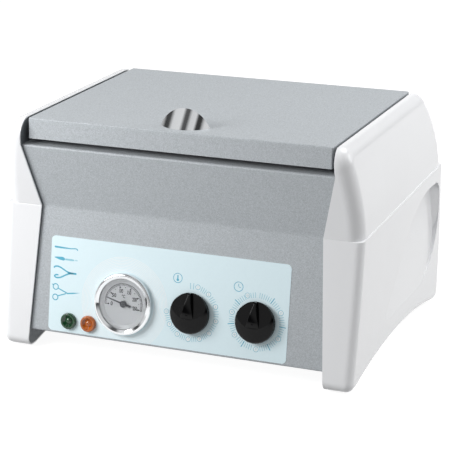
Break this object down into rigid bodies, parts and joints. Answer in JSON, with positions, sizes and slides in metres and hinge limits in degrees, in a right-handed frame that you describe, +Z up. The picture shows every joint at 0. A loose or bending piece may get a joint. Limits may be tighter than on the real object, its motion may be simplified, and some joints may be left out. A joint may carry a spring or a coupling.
{
  "type": "dry heat sterilizer",
  "caption": "Bench-top box with a hinged lid over a heated steel chamber and tray, with a temperature gauge, two knobs and pilot lamps on its front, between moulded side covers.",
  "frame": {"origin": "middle of the footprint on the ground, under the rubber feet", "axes": "+X to the right as seen from the front, +Y to the back where the hinges and inlet are, +Z up"},
  "size_m": [0.3774, 0.2958, 0.2542],
  "materials": {
    "cover_white": "moulded, glossy white",
    "side_grey": "dark grey powder coat",
    "panel_silver": "silver-grey metallic paint with fine speckle",
    "label_print": "pale blue printed film",
    "stainless": "drawn stainless steel",
    "plated_steel": "zinc plated sheet",
    "chrome": "polished chrome plate",
    "silicone": "heat-proof silicone",
    "mineral_wool": "pressed mineral wool",
    "heater_sheath": "heat-tinted steel sheath",
    "copper": "copper tube",
    "dial_white": "white dial with printed figures",
    "needle_grey": "dark grey lacquer",
    "clear_glass": "flat clear glass",
    "knob_black": "black moulded plastic, semi-gloss",
    "black_plastic": "black moulded plastic",
    "green_lens": "translucent dark green",
    "amber_lens": "translucent amber",
    "brass": "turned brass",
    "foot_rubber": "black rubber",
    "ceramic": "cream ceramic"
  },
  "bodies": {
    "base": {"left_cover": "cover_white", "right_cover": "cover_white", "left_side_sheet": "side_grey", "right_side_sheet": "side_grey", "front_panel": "panel_silver", "rear_panel": "panel_silver", "control_label": "label_print", "base_plate": "plated_steel", "top_deck": "plated_steel", "chamber": "stainless", "tray": "stainless", "tray_handles": "stainless", "chamber_gasket": "silicone", "heater": "heater_sheath", "heater_clips": "plated_steel", "chamber_wool": "mineral_wool", "heat_shield": "plated_steel", "limit_cutout": "ceramic", "body_hinge_leaves": "chrome", "hinge_pins": "stainless", "gauge_case": "black_plastic", "gauge_clamp": "plated_steel", "gauge_bezel": "chrome", "gauge_dial": "dial_white", "gauge_glass": "clear_glass", "gauge_movement": "brass", "gauge_capillary": "copper", "heat_capillary": "copper", "heat_switch": "black_plastic", "timer": "black_plastic", "heat_nut": "brass", "timer_nut": "brass", "green_lens": "green_lens", "amber_lens": "amber_lens", "green_lamp": "black_plastic", "amber_lamp": "black_plastic", "power_inlet": "black_plastic", "inlet_blades": "brass", "terminal_block": "ceramic", "rubber_feet": "foot_rubber"},
    "lid": {"lid_skin": "panel_silver", "lid_liner": "stainless", "lid_wool": "mineral_wool", "lid_handle": "chrome", "handle_screws": "plated_steel", "lid_hinge_leaves": "chrome"},
    "heat_knob": {"heat_knob": "knob_black", "heat_spindle": "stainless"},
    "timer_knob": {"timer_knob": "knob_black", "timer_spindle": "stainless"},
    "gauge_needle": {"gauge_needle": "needle_grey"}
  },
  "joints": [
    {"name": "lid_hinge", "type": "hinge", "parent": "base", "child": "lid", "pos_m": [0, 0.11755, 0.213], "axis": [-1, 0, 0], "range_deg": [0, 100]},
    {"name": "heat_dial", "type": "hinge", "parent": "base", "child": "heat_knob", "pos_m": [0.0182, -0.13498, 0.05882], "axis": [0, 0.9854, -0.1701], "range_deg": [0, 272]},
    {"name": "timer_dial", "type": "hinge", "parent": "base", "child": "timer_knob", "pos_m": [0.0865, -0.13498, 0.05882], "axis": [0, 0.9854, -0.1701], "range_deg": [0, 338]},
    {"name": "gauge_pointer", "type": "hinge", "parent": "base", "child": "gauge_needle", "pos_m": [-0.0543, -0.13503, 0.05853], "axis": [0, 0.9854, -0.1701], "range_deg": [-20.5, 179.7]}
  ]
}
